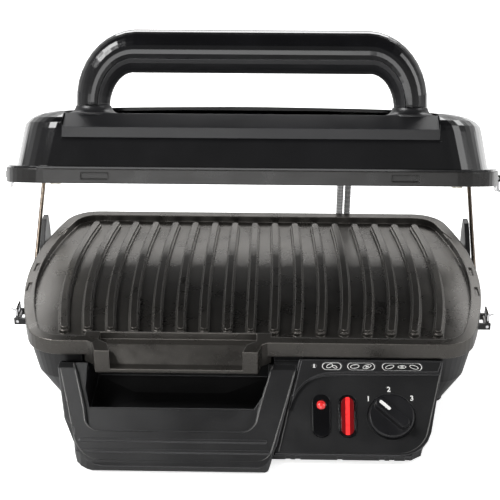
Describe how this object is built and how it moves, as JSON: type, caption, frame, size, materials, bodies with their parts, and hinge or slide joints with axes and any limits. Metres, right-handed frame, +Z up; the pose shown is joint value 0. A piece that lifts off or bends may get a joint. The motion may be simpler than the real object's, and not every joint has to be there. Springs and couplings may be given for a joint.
{
  "type": "electric indoor grill with lid",
  "caption": "Countertop electric grill: ribbed lower plate with spout, lidded upper plate on lift arms, arched handle, sliding drip tray, thermostat knob and lit switch.",
  "frame": {"origin": "on the table, under the middle of the whole grill's box at rest", "axes": "+X to the right, +Y to the back, +Z up; the controls and the drip tray face -Y"},
  "size_m": [0.386, 0.305, 0.2813],
  "materials": {
    "body_plastic": "moulded black plastic with a fine grain",
    "panel_plastic": "grained black plastic",
    "tray_plastic": "grained black plastic",
    "matt_black": "spark-eroded black plastic",
    "gloss_black": "high-gloss black plastic",
    "knob_plastic": "semi-gloss black plastic",
    "plate_coating": "non-stick coating with fine speckle on cast aluminium",
    "foot_rubber": "black rubber",
    "screw_steel": "zinc-plated steel",
    "reflector_sheet": "bright sheet",
    "heater_sheath": "oxidised tube",
    "red_lens": "clear red plastic",
    "white_print": "white inlay",
    "bush_nylon": "natural nylon",
    "lead_sleeve": "woven grey sleeve",
    "arm_wire": "dark bronze steel wire",
    "bracket_sheet": "plated sheet steel",
    "latch_chrome": "chromed sheet steel"
  },
  "bodies": {
    "base": {"base_housing": "body_plastic", "bottom_cover": "body_plastic", "feet": "foot_rubber", "bottom_screws": "screw_steel", "lower_reflector": "reflector_sheet", "lower_heater": "heater_sheath", "lower_plate": "plate_coating", "control_panel": "panel_plastic", "pilot_holder": "gloss_black", "pilot_lens": "red_lens", "switch_body": "gloss_black", "thermostat": "screw_steel", "arm_bushes": "bush_nylon", "cord_gland": "body_plastic", "link_lead_lower": "lead_sleeve"},
    "lift_arms": {"lift_arm_left": "arm_wire", "lift_arm_right": "arm_wire"},
    "hinge_bushes": {"hinge_bushes": "bush_nylon"},
    "lid": {"lid_housing": "gloss_black", "upper_plate": "plate_coating", "upper_reflector": "reflector_sheet", "upper_heater": "heater_sheath", "handle_base": "matt_black", "handle_inner_shell": "matt_black", "handle_cover": "gloss_black", "handle_screws": "screw_steel", "lid_hinge_brackets": "bracket_sheet", "link_lead_upper": "lead_sleeve"},
    "drip_tray": {"drip_tray": "tray_plastic"},
    "thermostat_knob": {"thermostat_knob": "knob_plastic", "knob_pointer": "white_print"},
    "switch_rocker": {"switch_rocker": "red_lens"},
    "lower_latch_left": {"lower_latch_left": "latch_chrome"},
    "lower_latch_right": {"lower_latch_right": "latch_chrome"},
    "upper_latch_left": {"upper_latch_left": "latch_chrome"},
    "upper_latch_right": {"upper_latch_right": "latch_chrome"}
  },
  "joints": [
    {"name": "arm_lift", "type": "hinge", "parent": "base", "child": "lift_arms", "pos_m": [0, 0.06993, 0.036], "axis": [1, 0, 0], "range_deg": [-21.96, 0], "deforming": ["link_lead_lower"]},
    {"name": "bush_level", "type": "hinge", "parent": "lift_arms", "child": "hinge_bushes", "pos_m": [0, 0.1453, 0.09928], "axis": [1, 0, 0], "range_deg": [0, 21.96]},
    {"name": "lid_tilt", "type": "hinge", "parent": "hinge_bushes", "child": "lid", "pos_m": [0, 0.1453, 0.09928], "axis": [1, 0, 0], "range_deg": [-158.1, 21.9], "deforming": ["link_lead_upper"]},
    {"name": "tray_slide", "type": "slide", "parent": "base", "child": "drip_tray", "axis": [0, -1, 0], "range_m": [0, 0.13]},
    {"name": "knob_turn", "type": "hinge", "parent": "base", "child": "thermostat_knob", "pos_m": [0.103, -0.11675, 0.02663], "axis": [0, -0.5736, 0.8192], "range_deg": [-105, 0]},
    {"name": "switch_rock", "type": "hinge", "parent": "base", "child": "switch_rocker", "pos_m": [0.0715, -0.11445, 0.02336], "axis": [1, 0, 0], "range_deg": [-12, 0]},
    {"name": "lower_latch_left_open", "type": "hinge", "parent": "base", "child": "lower_latch_left", "pos_m": [-0.1836, -0.0175, 0.0502], "axis": [0, -1, 0], "range_deg": [0, 18], "stiffness_Nm_per_rad": 0.06, "springref_deg": -17.19},
    {"name": "lower_latch_right_open", "type": "hinge", "parent": "base", "child": "lower_latch_right", "pos_m": [0.1836, -0.0175, 0.0502], "axis": [0, 1, 0], "range_deg": [0, 18], "stiffness_Nm_per_rad": 0.06, "springref_deg": -17.19},
    {"name": "upper_latch_left_open", "type": "hinge", "parent": "lid", "child": "upper_latch_left", "pos_m": [-0.188, 0.02042, 0.15595], "axis": [0, 0.9278, -0.373], "range_deg": [0, 18], "stiffness_Nm_per_rad": 0.06, "springref_deg": -17.19},
    {"name": "upper_latch_right_open", "type": "hinge", "parent": "lid", "child": "upper_latch_right", "pos_m": [0.188, 0.02042, 0.15595], "axis": [0, -0.9278, 0.373], "range_deg": [0, 18], "stiffness_Nm_per_rad": 0.06, "springref_deg": -17.19}
  ],
  "couplings": [
    {"joint": "bush_level", "follows": "arm_lift", "ratio": -1}
  ]
}
